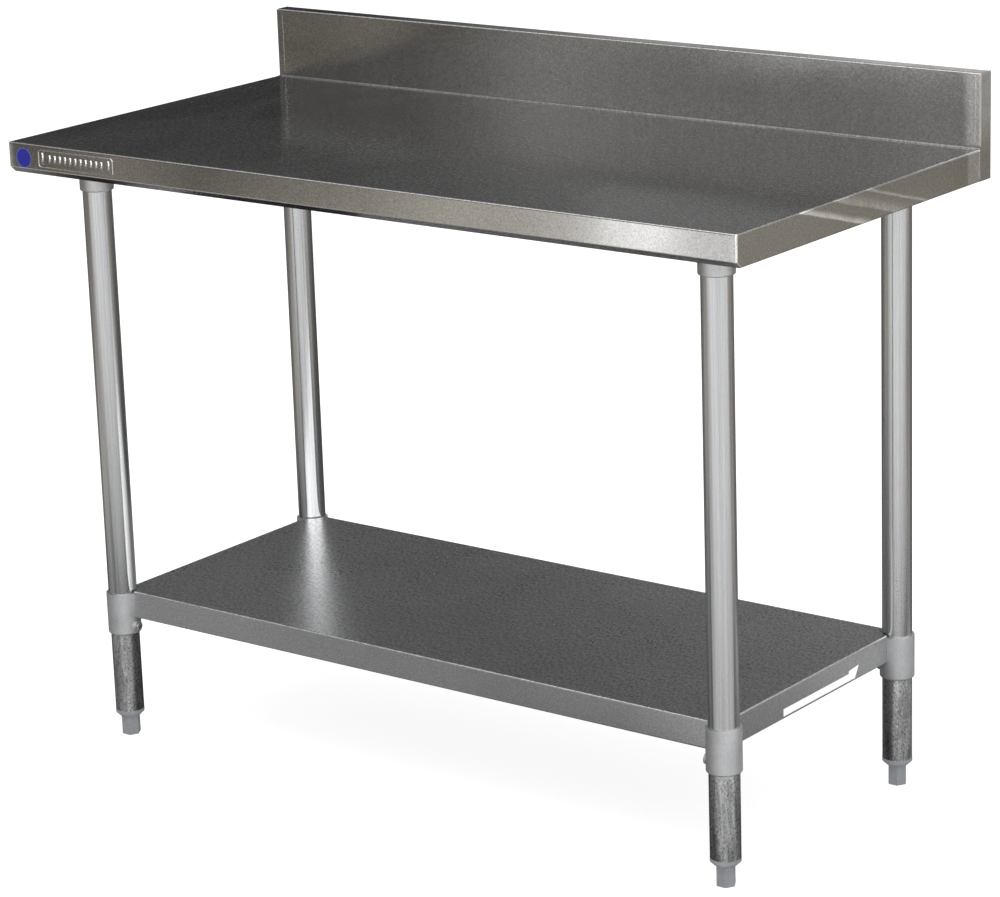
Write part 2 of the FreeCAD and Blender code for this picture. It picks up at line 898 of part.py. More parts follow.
def make_shelf_pan():
    """A folded pan, open below, with its corners notched around the sleeves."""
    t = "SheetThickness"
    low = (f"-{SHELF_HALF}", SHELF_FRONT, SHELF_BOTTOM)
    high = (SHELF_HALF, SHELF_REAR, "ShelfTop")
    block = box("shelf_block", low, high)
    crest = size("ShelfTop")
    bottom = crest - size("ShelfSkirt")
    bent = rounded(
        "shelf_bends", block, lambda x, y, z: near(z, crest) or near(z, bottom), "BendRadius"
    )
    inside = box(
        "shelf_inside",
        (f"-{SHELF_HALF} + {t}", f"{SHELF_FRONT} + {t}", f"{SHELF_BOTTOM} + {t}"),
        (f"{SHELF_HALF} - {t}", f"{SHELF_REAR} - {t}", SHELF_UNDERSIDE),
    )
    mouth = box(
        "shelf_mouth",
        (f"-{SHELF_HALF} + ShelfLip", f"{SHELF_FRONT} + ShelfLip", SHELF_BOTTOM),
        (f"{SHELF_HALF} - ShelfLip", f"{SHELF_REAR} - ShelfLip", f"{SHELF_BOTTOM} + 2 * {t}"),
    )
    notch = cylinder(
        "shelf_notch", "SocketDiameter", SHELF_BOTTOM, "ShelfTop", "LegOffset", "-LegFront"
    )
    tools = fuse("shelf_tools", inside, mouth, *at_corners("shelf_notch", notch))
    cut("shelf_pan", bent, tools)


def make_shelf_sleeves():
    """Cast sleeves that slide on the legs, with ears behind the shelf's skirts."""
    sleeve = leg_body("shelf_sleeve_front_right")
    turned(
        sleeve,
        "shelf_sleeve_barrel",
        [
            ("SleeveBore / 2", "SleeveBottom"),
            ("SocketDiameter / 2", "SleeveBottom"),
            ("SocketDiameter / 2", "SleeveTop"),
            ("SleeveBore / 2", "SleeveTop"),
        ],
    )
    low = size("SleeveBottom")
    wide = size("SocketDiameter") / 2
    fillet(
        sleeve,
        "shelf_sleeve_rim",
        lambda x, y, z: near(z, low) and near((x * x + y * y) ** 0.5, wide),
        "SleeveEdge",
    )
    boss_and_tap(sleeve, "shelf_sleeve", "SleeveScrewHeight")
    ears = sketch(sleeve, "shelf_sleeve_ears", "XY_Plane", "EarBottom")
    start = "SocketDiameter / 2 - EarRoot"
    behind_front = f"{SHELF_FRONT} + SheetThickness + LegFront"
    behind_side = f"{SHELF_HALF} - SheetThickness - LegOffset"
    rectangle(
        ears,
        ("-EarLength", behind_front),
        (f"-({start})", f"{behind_front} + EarThickness"),
    )
    rectangle(
        ears,
        (f"{behind_side} - EarThickness", start),
        (behind_side, "EarLength"),
    )
    pad(sleeve, "shelf_sleeve_ear_pad", ears, "EarTop - EarBottom")
    at_corners("shelf_sleeve", sleeve)


# ---------------------------------------------------------------- trim


def make_round_sticker():
    """A plain round sticker near the left end of the front skirt."""
    disc = doc.addObject("Part::Cylinder", "round_sticker")
    bind(disc, Radius="StickerDiameter / 2", Height="StickerThickness")
    turn(disc, (1, 0, 0), 90)
    place(disc, "-StickerCentre", FRONT, "StickerHeight")


def make_shelf_label():
    """A blank paper label along the lower part of the shelf's right skirt."""
    label = body("shelf_label")
    drawing = outline(
        sketch(label, "label_outline", "YZ_Plane", SHELF_HALF),
        [
            ("-LabelFront", "LabelBottom + BendRadius"),
            ("LabelRear - LabelWidth", "LabelBottom + BendRadius"),
            ("LabelRear", "LabelBottom + BendRadius + LabelTabWidth"),
            ("LabelRear - LabelTab", "LabelBottom + BendRadius + LabelTabWidth - LabelTabSlope"),
            ("LabelRear - LabelTab", "LabelBottom + BendRadius + LabelWidth"),
            ("-LabelFront", "LabelBottom + BendRadius + LabelWidth"),
        ],
    )
    pad(label, "label_pad", drawing, "LabelThickness")


# ---------------------------------------------------------------- the whole table

make_tabletop()
make_end_cap()
make_cross_channel()
make_long_channel("centre_channel", TOP_UNDERSIDE, CHANNEL_BOTTOM, "CentreChannelLength")
TOP_STUDS = cross_stud_places("LegOffset") + cross_stud_places("-LegOffset") + long_stud_places()
make_studs("channel_studs", TOP_STUDS, TOP_UNDERSIDE)
make_nuts("channel_nuts", TOP_STUDS, TOP_UNDERSIDE)
make_sound_strips()
make_top_sockets("front", "-LegFront", "SocketBottom")
make_top_sockets("rear", "LegRear", "RearSocketBottom")
make_socket_bolts()
make_set_screws("top_set_screws", "SocketScrewHeight", "0")
make_legs()
make_foot_plugs()
make_foot_screws()
make_hex_feet()
make_shelf_pan()
make_long_channel("shelf_channel", SHELF_UNDERSIDE, SHELF_CHANNEL_BOTTOM, "ShelfChannelLength")
make_studs("shelf_studs", long_stud_places(), SHELF_UNDERSIDE)
make_nuts("shelf_nuts", long_stud_places(), SHELF_UNDERSIDE)
make_shelf_sleeves()
make_set_screws("shelf_set_screws", "SleeveScrewHeight", "SleeveScrewGap")
make_round_sticker()
make_shelf_label()

NODES = [
    "tabletop",
    "end_cap_left",
    "end_cap_right",
    "cross_channel_left",
    "cross_channel_right",
    "centre_channel",
    "channel_studs",
    "channel_nuts",
    "sound_strips",
    "socket_bolts",
    "socket_nuts",
    "top_set_screws",
    "foot_nuts",
    "shelf_pan",
    "shelf_channel",
    "shelf_studs",
    "shelf_nuts",
    "shelf_set_screws",
    "shelf_label",
    "round_sticker",
]
for piece in ("top_socket", "leg", "foot_plug", "foot_screw", "hex_foot", "shelf_sleeve"):
    NODES += [f"{piece}_{corner}" for corner in CORNERS]

doc.recompute()
for item in doc.Objects:
    require(not {"Invalid", "Error"} & set(item.State), f"{item.Name}: {item.State}")

os.makedirs("parts", exist_ok=True)
for name in NODES:
    piece = doc.getObject(name)
    require(piece.Label == name, f"{name} has the label {piece.Label}")
    shape = piece.Shape
    require(not shape.isNull() and shape.isValid(), f"{name} has no valid shape")
for name in NODES:
    doc.getObject(name).Shape.exportStep(f"parts/{name}.step")
print(len(NODES), "nodes written")
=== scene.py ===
import json
import math

import bmesh
import bpy
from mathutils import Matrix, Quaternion, Vector


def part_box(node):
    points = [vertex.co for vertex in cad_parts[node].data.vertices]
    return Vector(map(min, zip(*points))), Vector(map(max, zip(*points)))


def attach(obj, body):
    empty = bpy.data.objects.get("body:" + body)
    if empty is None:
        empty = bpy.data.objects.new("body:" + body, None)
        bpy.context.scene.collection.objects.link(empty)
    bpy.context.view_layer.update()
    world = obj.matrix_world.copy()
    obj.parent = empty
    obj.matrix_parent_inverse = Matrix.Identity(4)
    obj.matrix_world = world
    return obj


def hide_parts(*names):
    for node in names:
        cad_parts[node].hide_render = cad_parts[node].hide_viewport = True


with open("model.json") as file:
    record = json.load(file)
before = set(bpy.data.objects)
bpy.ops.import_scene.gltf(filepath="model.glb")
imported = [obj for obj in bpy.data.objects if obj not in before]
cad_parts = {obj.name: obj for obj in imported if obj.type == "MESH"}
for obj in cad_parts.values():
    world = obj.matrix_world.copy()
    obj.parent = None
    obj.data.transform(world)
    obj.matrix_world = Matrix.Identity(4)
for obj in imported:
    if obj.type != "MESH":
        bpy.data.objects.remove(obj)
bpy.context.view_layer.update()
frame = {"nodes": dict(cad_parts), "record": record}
NODES = frame["nodes"]
SLOT_OF = {part["node"]: part["material_slot"] for part in frame["record"]["subparts"]}
CORNERS = ("front_right", "front_left", "rear_right", "rear_left")

# places on the table
WORK_HEIGHT = 0.8890
SKIRT_FACE = -0.3048
SPLASH_FACE = 0.2794
END_FACE = 0.6096
CAP_INSIDE = 0.5996
SEAM_PLACE = 0.2754
SLEEVE_BOTTOM = 0.158
STICKER_MIDDLE = (-0.5808, -0.3050, 0.8685)
STICKER_RADIUS = 0.014


# ---------------------------------------------------------------- node helpers

def new_material(name):
    """A material, its tree and its Principled shader."""
    material = bpy.data.materials.new(name)
    material.use_nodes = True
    tree = material.node_tree
    return material, tree, tree.nodes["Principled BSDF"]


def wire(tree, value, socket):
    """Links a node output to the socket, or sets the socket to a plain value."""
    if isinstance(value, bpy.types.NodeSocket):
        tree.links.new(value, socket)
    elif value is not None:
        socket.default_value = value


def maths(tree, operation, first, second=None):
    """The result of an operation on one or two numbers."""
    node = tree.nodes.new("ShaderNodeMath")
    node.operation = operation
    wire(tree, first, node.inputs[0])
    wire(tree, second, node.inputs[1])
    return node.outputs[0]


def vector_maths(tree, operation, first, second=None):
    """The result of an operation on vectors: a distance, or another vector."""
    node = tree.nodes.new("ShaderNodeVectorMath")
    node.operation = operation
    wire(tree, first, node.inputs[0])
    wire(tree, second, node.inputs[1])
    return node.outputs["Value" if operation == "DISTANCE" else "Vector"]


def remap(tree, value, low, high, out_low=0.0, out_high=1.0, smooth=False):
    """The value carried from low..high to out_low..out_high, and held at the ends."""
    node = tree.nodes.new("ShaderNodeMapRange")
    node.interpolation_type = "SMOOTHSTEP" if smooth else "LINEAR"
    wire(tree, value, node.inputs["Value"])
    for name, number in (("From Min", low), ("From Max", high), ("To Min", out_low), ("To Max", out_high)):
        wire(tree, number, node.inputs[name])
    return node.outputs["Result"]


def mix_numbers(tree, factor, first, second):
    """The first number where the factor is 0, and the second where it is 1."""
    node = tree.nodes.new("ShaderNodeMix")
    node.data_type = "FLOAT"
    wire(tree, factor, node.inputs[0])
    wire(tree, first, node.inputs[2])
    wire(tree, second, node.inputs[3])
    return node.outputs[0]


def mix_vectors(tree, factor, first, second):
    """The first vector where the factor is 0, and the second where it is 1."""
    node = tree.nodes.new("ShaderNodeMix")
    node.data_type = "VECTOR"
    wire(tree, factor, node.inputs[0])
    wire(tree, first, node.inputs[4])
    wire(tree, second, node.inputs[5])
    return node.outputs[1]


def mix_colours(tree, factor, first, second):
    """The first colour where the factor is 0, and the second where it is 1."""
    node = tree.nodes.new("ShaderNodeMix")
    node.data_type = "RGBA"
    wire(tree, factor, node.inputs[0])
    wire(tree, first, node.inputs[6])
    wire(tree, second, node.inputs[7])
    return node.outputs[2]


def multiply(tree, *values):
    """The product of several values."""
    product = values[0]
    for value in values[1:]:
        product = maths(tree, "MULTIPLY", product, value)
    return product


def scaled(tree, vector, scale):
    """The coordinates multiplied, axis by axis."""
    return vector_maths(tree, "MULTIPLY", vector, scale)


def noise(tree, vector, detail=2.0, roughness=0.5, scale=1.0, distortion=0.0):
    """Smooth noise between 0 and 1, mostly 0.3 to 0.7."""
    node = tree.nodes.new("ShaderNodeTexNoise")
    wire(tree, vector, node.inputs["Vector"])
    node.inputs["Scale"].default_value = scale
    node.inputs["Detail"].default_value = detail
    node.inputs["Roughness"].default_value = roughness
    node.inputs["Distortion"].default_value = distortion
    return node.outputs["Fac"]


def cells(tree, vector, scale):
    """A different level in each of many small cells."""
    node = tree.nodes.new("ShaderNodeTexVoronoi")
    wire(tree, vector, node.inputs["Vector"])
    node.inputs["Scale"].default_value = scale
    split = tree.nodes.new("ShaderNodeSeparateColor")
    tree.links.new(node.outputs["Color"], split.inputs[0])
    return split.outputs[0]


def places(tree):
    """Places on the object, in metres."""
    return tree.nodes.new("ShaderNodeTexCoord").outputs["Object"]


def facings(tree):
    """The direction that the surface faces."""
    return tree.nodes.new("ShaderNodeTexCoord").outputs["Normal"]


def split_axes(tree, vector):
    """The vector's x, y and z."""
    node = tree.nodes.new("ShaderNodeSeparateXYZ")
    tree.links.new(vector, node.inputs[0])
    return node.outputs[0], node.outputs[1], node.outputs[2]


def join_axes(tree, x, y, z):
    """A vector from its x, y and z."""
    node = tree.nodes.new("ShaderNodeCombineXYZ")
    wire(tree, x, node.inputs[0])
    wire(tree, y, node.inputs[1])
    wire(tree, z, node.inputs[2])
    return node.outputs[0]


def bump(tree, height, distance, strength, normal=None):
    """The surface's normal, tilted by the slope of a height, on top of another bump if there is one."""
    node = tree.nodes.new("ShaderNodeBump")
    node.inputs["Strength"].default_value = strength
    node.inputs["Distance"].default_value = distance
    wire(tree, height, node.inputs["Height"])
    wire(tree, normal, node.inputs["Normal"])
    return node.outputs["Normal"]


def band(tree, value, middle, half_width, soft):
    """One inside a band about the middle, falling to nothing over the soft distance."""
    away = maths(tree, "ABSOLUTE", maths(tree, "SUBTRACT", value, middle))
    return remap(tree, away, half_width, half_width + soft, 1.0, 0.0, smooth=True)


def grey(level, warm=0.0):
    """A grey, a little warmer (or cooler, below zero) than neutral."""
    return (level * (1 + warm), level, level * (1 - 1.6 * warm), 1.0)


def varied(tree, tone, level, warm=0.0):
    """A grey whose level is multiplied by a tone that stays between 0 and 2."""
    return mix_colours(tree, maths(tree, "MULTIPLY", tone, 0.5), grey(0.0), grey(2 * level, warm))


# ---------------------------------------------------------------- steel sheet

def ground_welds_and_highlight(tree, place, facing):
    """Where the welds of the worktop were ground and brushed by hand: one there, nothing elsewhere. The
    band up the right end of the splash is also a painted highlight, brightest next to the end edge.
    """
    x, y, z = split_axes(tree, place)
    facing_x, facing_y, _ = split_axes(tree, facing)
    from_end = maths(tree, "SUBTRACT", END_FACE, maths(tree, "ABSOLUTE", x))
    faces_front = remap(tree, facing_y, -0.9, -0.6, 1.0, 0.0)
    faces_end = remap(tree, maths(tree, "ABSOLUTE", facing_x), 0.6, 0.9)
    near_end = remap(tree, from_end, 0.016, 0.030, 1.0, 0.0, smooth=True)
    # painted highlight: the splash band is only at the right end, and is brightest next to the end edge
    stronger_right = remap(tree, x, -0.5, 0.5, 0.0, 0.8)
    near_edge = remap(tree, from_end, 0.0015, 0.0045, 1.6, 1.0, smooth=True)
    above_work = remap(tree, z, WORK_HEIGHT + 0.001, WORK_HEIGHT + 0.006)
    splash_band = multiply(tree, near_end, near_edge, above_work, faces_front, stronger_right)
    seam_band = multiply(tree, band(tree, y, SEAM_PLACE - 0.0134, 0.012, 0.010), faces_end, 0.45)
    stronger_above = remap(tree, z, WORK_HEIGHT - 0.009, WORK_HEIGHT + 0.041, 0.12, 0.6)
    cap_face = multiply(tree, remap(tree, y, SEAM_PLACE, SEAM_PLACE + 0.0036), faces_end, stronger_above)
    front_corner = multiply(tree, remap(tree, from_end, 0.0, 0.012, 1.0, 0.0, smooth=True), faces_front,
                            remap(tree, z, WORK_HEIGHT - 0.0025, WORK_HEIGHT - 0.0005, 1.0, 0.0))
    bands = maths(tree, "MAXIMUM", maths(tree, "MAXIMUM", splash_band, seam_band),
                  maths(tree, "MAXIMUM", cap_face, front_corner))
    swirl = noise(tree, scaled(tree, place, (160.0, 160.0, 60.0)), 4.0, 0.7, 1.0, 2.0)
    return multiply(tree, bands, remap(tree, swirl, 0.3, 0.7, 0.75, 1.1))


def splash_foot_shade(tree, place):
    """The small bend at the foot of the backsplash, where the steel is darkened as painted shade."""
    _, y, z = split_axes(tree, place)
    return multiply(tree, remap(tree, y, SPLASH_FACE - 0.0034, SPLASH_FACE - 0.0028),
                    remap(tree, y, SPLASH_FACE + 0.0001, SPLASH_FACE + 0.0004, 1.0, 0.0),
                    remap(tree, z, WORK_HEIGHT + 0.0001, WORK_HEIGHT + 0.0004),
                    remap(tree, z, WORK_HEIGHT + 0.0017, WORK_HEIGHT + 0.0031, 1.0, 0.0))


# the marks run along lines where y + MARK_SLANT * z stays the same: that sum, how far the mark fades out
# above its edge, and its strength
MARK_SLANT = 3.5
MARKS = ((2.947, 0.036, 1.6), (3.026, 0.060, 0.85), (3.102, 0.016, 1.0))


def rubbed_marks(tree, place, facing):
    """Three slanting marks and a few scuffs, rubbed brighter, on the right skirt. Each mark has a sharp
    lower edge and fades out above it, the middle one most slowly."""
    _, y, z = split_axes(tree, place)
    faces_right = remap(tree, split_axes(tree, facing)[0], 0.6, 0.9)
    slant = maths(tree, "ADD", y, multiply(tree, z, MARK_SLANT))
    wander = remap(tree, noise(tree, place, 2.0, 0.5, 30.0), 0.3, 0.7, -0.002, 0.002)
    slant = maths(tree, "ADD", slant, wander)
    marks = 0.0
    for middle, fade, strength in MARKS:
        edge = remap(tree, slant, middle - 0.010, middle, smooth=True)
        tail = remap(tree, slant, middle, middle + fade, strength, 0.0, smooth=True)
        marks = maths(tree, "MAXIMUM", marks, multiply(tree, edge, tail))
    uneven = noise(tree, scaled(tree, place, (60.0, 60.0, 25.0)), 2.0, 0.5)
    marks = multiply(tree, marks, remap(tree, uneven, 0.3, 0.6, 0.75, 1.0))
    scuffs = noise(tree, scaled(tree, place, (70.0, 70.0, 110.0)), 4.0, 0.7, 1.0, 0.6)
    near_front = remap(tree, y, -0.20, -0.02, 1.0, 0.0, smooth=True)
    scuffs = multiply(tree, remap(tree, scuffs, 0.62, 0.74), near_front, 0.3)
    return multiply(tree, maths(tree, "MAXIMUM", marks, scuffs), faces_right)


def sheet_steel(name, level, warm, roughness, directed, worked_and_painted_light):
    """Folded stainless sheet with a No. 4 brushed finish. The grain runs along the table, and down the
    skirts at its ends. The level is the reflectance of the steel, and directed says how far the blur of its
    reflections follows the grain. Worked sheet has ground welds and rubs, painted shade in the bend at the
    foot of the splash and a painted highlight up the splash's right end."""
    material, tree, shader = new_material(name)
    place = places(tree)
    facing = facings(tree)
    x, y, z = split_axes(tree, place)
    facing_x, _, facing_z = split_axes(tree, facing)
    at_end = maths(tree, "GREATER_THAN", maths(tree, "ABSOLUTE", facing_x), 0.7)
    along = mix_vectors(tree, at_end, place, join_axes(tree, z, multiply(tree, y, 3.5), x))

    speckle = noise(tree, scaled(tree, along, (340.0, 160.0, 440.0)), 2.0, 0.65)
    stronger_flat = remap(tree, maths(tree, "ABSOLUTE", facing_z), 0.6, 0.9, 0.42, 1.0)
    speckle = mix_numbers(tree, stronger_flat, 0.5, speckle)
    hair = noise(tree, scaled(tree, along, (16.0, 1500.0, 1500.0)), 2.0, 0.6)
    clouds = noise(tree, place, 3.0, 0.55, 5.5, 0.4)
    wiped = noise(tree, scaled(tree, place, (9.0, 3.0, 9.0)), 4.0, 0.6, 1.0, 1.2)
    tone = multiply(tree, remap(tree, speckle, 0.3, 0.7, 0.54, 1.46),
                    remap(tree, hair, 0.3, 0.7, 0.97, 1.03), remap(tree, clouds, 0.3, 0.7, 0.95, 1.05))
    rough = maths(tree, "ADD", remap(tree, speckle, 0.3, 0.7, roughness - 0.015, roughness + 0.015),
                  remap(tree, wiped, 0.35, 0.65, -0.01, 0.015))
    if worked_and_painted_light:
        # ground weld zones, with a painted highlight up the right end of the splash
        ground = ground_welds_and_highlight(tree, place, facing)
        rubbed = rubbed_marks(tree, place, facing)
        brighter = maths(tree, "ADD", multiply(tree, ground, 0.55), multiply(tree, rubbed, 0.5))
        rougher = maths(tree, "ADD", multiply(tree, ground, 0.22), multiply(tree, rubbed, 0.12))
        tone = maths(tree, "ADD", tone, brighter)
        # painted shade: the bend at the foot of the backsplash is darkened to 0.38 of its tone
        tone = multiply(tree, tone, remap(tree, splash_foot_shade(tree, place), 0.0, 1.0, 1.0, 0.38))
        rough = maths(tree, "ADD", rough, rougher)
    wire(tree, varied(tree, tone, level, warm), shader.inputs["Base Color"])
    wire(tree, rough, shader.inputs["Roughness"])
    shader.inputs["Metallic"].default_value = 1.0
    shader.inputs["Anisotropic"].default_value = directed

    height = maths(tree, "ADD", multiply(tree, speckle, 0.5), multiply(tree, hair, 0.5))
    ripple = bump(tree, noise(tree, place, 1.0, 0.4, 5.0), 0.0005, 0.4)
    wire(tree, bump(tree, height, 0.00002, 0.2, ripple), shader.inputs["Normal"])
    grain_way = mix_vectors(tree, at_end, (1.0, 0.0, 0.0), (0.0, 0.0, 1.0))
    wire(tree, vector_maths(tree, "CROSS_PRODUCT", facing, grain_way), shader.inputs["Tangent"])
    return material


def leg_steel():
    """Drawn tube, polished round and round, with faint straight streaks down its length. Below the shelf
    the tube is duller, with a fine mottling, and darker as painted shade."""
    material, tree, shader = new_material("satin_tube")
    place = places(tree)
    z = split_axes(tree, place)[2]
    streaks = noise(tree, scaled(tree, place, (240.0, 240.0, 0.8)), 3.0, 0.6)
    fine = noise(tree, scaled(tree, place, (900.0, 900.0, 30.0)), 2.0, 0.6)
    rings = noise(tree, scaled(tree, place, (60.0, 60.0, 1400.0)), 2.0, 0.5)
    speckle = noise(tree, scaled(tree, place, (480.0, 480.0, 300.0)), 3.0, 0.75)
    mottle_noise = noise(tree, scaled(tree, place, (120.0, 120.0, 16.0)), 3.0, 0.65, 1.0, 0.5)
    low = remap(tree, z, SLEEVE_BOTTOM - 0.008, SLEEVE_BOTTOM + 0.027, 1.0, 0.0, smooth=True)
    lower_zone = multiply(tree, low, remap(tree, noise(tree, place, 3.0, 0.6, 28.0), 0.3, 0.62, 0.75, 1.0))

    upper = multiply(tree, remap(tree, streaks, 0.3, 0.7, 0.86, 1.10),
                     remap(tree, fine, 0.3, 0.7, 0.96, 1.04))
    # painted shade: below the sleeves the tone averages about 0.85 of the upper tube's, with a fine
    # mottling
    lower = multiply(tree, remap(tree, speckle, 0.3, 0.7, 0.50, 1.30),
                     remap(tree, mottle_noise, 0.35, 0.65, 0.58, 1.27))
    tone = mix_numbers(tree, lower_zone, upper, lower)
    wire(tree, varied(tree, tone, 0.56, -0.006), shader.inputs["Base Color"])
    rough_upper = remap(tree, streaks, 0.3, 0.7, 0.16, 0.21)
    rough_lower = remap(tree, speckle, 0.3, 0.7, 0.24, 0.38)
    wire(tree, mix_numbers(tree, low, rough_upper, rough_lower), shader.inputs["Roughness"])
    shader.inputs["Metallic"].default_value = 1.0
    shader.inputs["Anisotropic"].default_value = 0.8
    height = mix_numbers(tree, low, maths(tree, "ADD", rings, fine), multiply(tree, speckle, 6.0))
    wire(tree, bump(tree, height, 0.00002, 0.4), shader.inputs["Normal"])
    wire(tree, join_axes(tree, 0.0, 0.0, 1.0), shader.inputs["Tangent"])
    return material


def cast_metal(name, level, warm, roughness, grain_size, relief):
    """Cast and tumbled aluminium: matt, with a fine even grain and a few soft pits."""
    material, tree, shader = new_material(name)
    place = places(tree)
    grain = noise(tree, place, 3.0, 0.7, grain_size)
    pits = remap(tree, noise(tree, place, 2.0, 0.6, grain_size * 0.32), 0.62, 0.75)
    clouds = noise(tree, place, 2.0, 0.5, 40.0)
    tone = multiply(tree, remap(tree, grain, 0.3, 0.7, 0.86, 1.12),
                    remap(tree, clouds, 0.3, 0.7, 0.93, 1.07), remap(tree, pits, 0.0, 1.0, 1.0, 0.82))
    wire(tree, varied(tree, tone, level, warm), shader.inputs["Base Color"])
    wire(tree, remap(tree, grain, 0.3, 0.7, roughness - 0.05, roughness + 0.07), shader.inputs["Roughness"])
    shader.inputs["Metallic"].default_value = 1.0
    height = maths(tree, "SUBTRACT", grain, multiply(tree, pits, 0.6))
    wire(tree, bump(tree, height, 0.0002, relief), shader.inputs["Normal"])
    return material


def galvanised():
    """Galvanised strip of the hat channels: a spangle of flat crystals with slightly different tones."""
    material, tree, shader = new_material("galvanised_strip")
    place = places(tree)
    spangle = cells(tree, place, 130.0)
    veins = noise(tree, place, 3.0, 0.6, 260.0)
    tone = multiply(tree, remap(tree, spangle, 0.0, 1.0, 0.78, 1.1),
                    remap(tree, veins, 0.3, 0.7, 0.94, 1.05))
    wire(tree, varied(tree, tone, 0.55, -0.01), shader.inputs["Base Color"])
    wire(tree, remap(tree, spangle, 0.0, 1.0, 0.30, 0.46), shader.inputs["Roughness"])
    shader.inputs["Metallic"].default_value = 1.0
    wire(tree, bump(tree, veins, 0.0001, 0.3), shader.inputs["Normal"])
    return material


def zinc(name, level, warm):
    """Bright zinc plate on small fasteners, with turning marks and a little dulling."""
    material, tree, shader = new_material(name)
    place = places(tree)
    dull = noise(tree, place, 3.0, 0.6, 240.0)
    turned = noise(tree, scaled(tree, place, (180.0, 180.0, 3200.0)), 2.0, 0.5)
    tone = multiply(tree, remap(tree, dull, 0.3, 0.7, 0.86, 1.06),
                    remap(tree, turned, 0.3, 0.7, 0.95, 1.04))
    wire(tree, varied(tree, tone, level, warm), shader.inputs["Base Color"])
    wire(tree, remap(tree, dull, 0.3, 0.7, 0.24, 0.40), shader.inputs["Roughness"])
    shader.inputs["Metallic"].default_value = 1.0
    wire(tree, bump(tree, turned, 0.00004, 0.4), shader.inputs["Normal"])
    return material


def moulded_plastic():
    """Grey nylon of the feet: fine spark-eroded texture, faint flow marks, rubbed paler in places."""
    material, tree, shader = new_material("moulded_nylon")
    place = places(tree)
    texture = noise(tree, place, 3.0, 0.7, 900.0)
    flow = noise(tree, scaled(tree, place, (60.0, 60.0, 18.0)), 3.0, 0.6, 1.0, 0.8)
    rubbed = remap(tree, noise(tree, place, 4.0, 0.65, 110.0), 0.5, 0.72)
    base = mix_colours(tree, remap(tree, flow, 0.3, 0.7), grey(0.170, -0.035), grey(0.215, -0.035))
    base = mix_colours(tree, multiply(tree, rubbed, 0.35), base, grey(0.28, -0.025))
    wire(tree, base, shader.inputs["Base Color"])
    wire(tree, remap(tree, texture, 0.3, 0.7, 0.42, 0.58), shader.inputs["Roughness"])
    wire(tree, bump(tree, texture, 0.00015, 0.5), shader.inputs["Normal"])
    return material


def butyl():
    """Butyl strips under the worktop: matt black, pressed on by hand, with a rolled pattern."""
    material, tree, shader = new_material("butyl_strip")
    place = places(tree)
    rolled = noise(tree, scaled(tree, place, (90.0, 240.0, 90.0)), 3.0, 0.6)
    dust = remap(tree, noise(tree, place, 4.0, 0.7, 70.0), 0.5, 0.75)
    wire(tree, mix_colours(tree, dust, grey(0.018), grey(0.055)), shader.inputs["Base Color"])
    wire(tree, remap(tree, rolled, 0.3, 0.7, 0.55, 0.8), shader.inputs["Roughness"])
    wire(tree, bump(tree, rolled, 0.0004, 0.5), shader.inputs["Normal"])
    return material


def printed_vinyl():
    """The plain round sticker: even blue ink under a thin clear film, paler at its cut edge."""
    material, tree, shader = new_material("printed_vinyl")
    place = places(tree)
    out = vector_maths(tree, "DISTANCE", place, STICKER_MIDDLE)
    rim = remap(tree, out, STICKER_RADIUS - 0.0012, STICKER_RADIUS - 0.0007)
    ink = noise(tree, place, 3.0, 0.6, 420.0)
    base = mix_colours(tree, remap(tree, ink, 0.3, 0.7), (0.002, 0.004, 0.16, 1.0),
                       (0.004, 0.007, 0.20, 1.0))
    wire(tree, mix_colours(tree, rim, base, (0.05, 0.08, 0.34, 1.0)), shader.inputs["Base Color"])
    wire(tree, remap(tree, ink, 0.3, 0.7, 0.34, 0.46), shader.inputs["Roughness"])
    wire(tree, bump(tree, ink, 0.00005, 0.3), shader.inputs["Normal"])
    return material


def label_paper():
    """Blank uncoated label paper: fibres, and a few soiled patches."""
    material, tree, shader = new_material("label_paper")
    place = places(tree)
    fibres = noise(tree, scaled(tree, place, (700.0, 700.0, 1500.0)), 3.0, 0.7)
    soiled = remap(tree, noise(tree, place, 4.0, 0.6, 45.0), 0.5, 0.8)
    base = mix_colours(tree, remap(tree, fibres, 0.3, 0.7), grey(0.74, 0.01), grey(0.86, 0.01))
    base = mix_colours(tree, multiply(tree, soiled, 0.3), base, grey(0.55, 0.03))
    wire(tree, base, shader.inputs["Base Color"])
    wire(tree, remap(tree, fibres, 0.3, 0.7, 0.62, 0.8), shader.inputs["Roughness"])
    wire(tree, bump(tree, fibres, 0.0001, 0.4), shader.inputs["Normal"])
    return material


MATERIALS = {
    "worktop_steel": sheet_steel("brushed_worktop", 0.60, 0.012, 0.105, 0.95, worked_and_painted_light=True),
    "shelf_steel": sheet_steel("brushed_shelf", 0.58, -0.006, 0.29, 0.0, worked_and_painted_light=False),
    "channel_steel": galvanised(),
    "leg_steel": leg_steel(),
    "socket_aluminium": cast_metal("cast_socket", 0.485, 0.0, 0.40, 700.0, 0.25),
    "sleeve_aluminium": cast_metal("cast_sleeve", 0.515, -0.008, 0.55, 560.0, 0.45),
    "zinc_fasteners": zinc("zinc_plate", 0.62, 0.0),
    "foot_screw_steel": zinc("zinc_thread", 0.56, 0.01),
    "foot_plastic": moulded_plastic(),
    "sound_butyl": butyl(),
    "sticker_blue": printed_vinyl(),
    "label_white": label_paper(),
}

for node_name, node_object in NODES.items():
    for slot in node_object.material_slots:
        slot.material = MATERIALS[SLOT_OF[node_name]]


# ---------------------------------------------------------------- small pieces

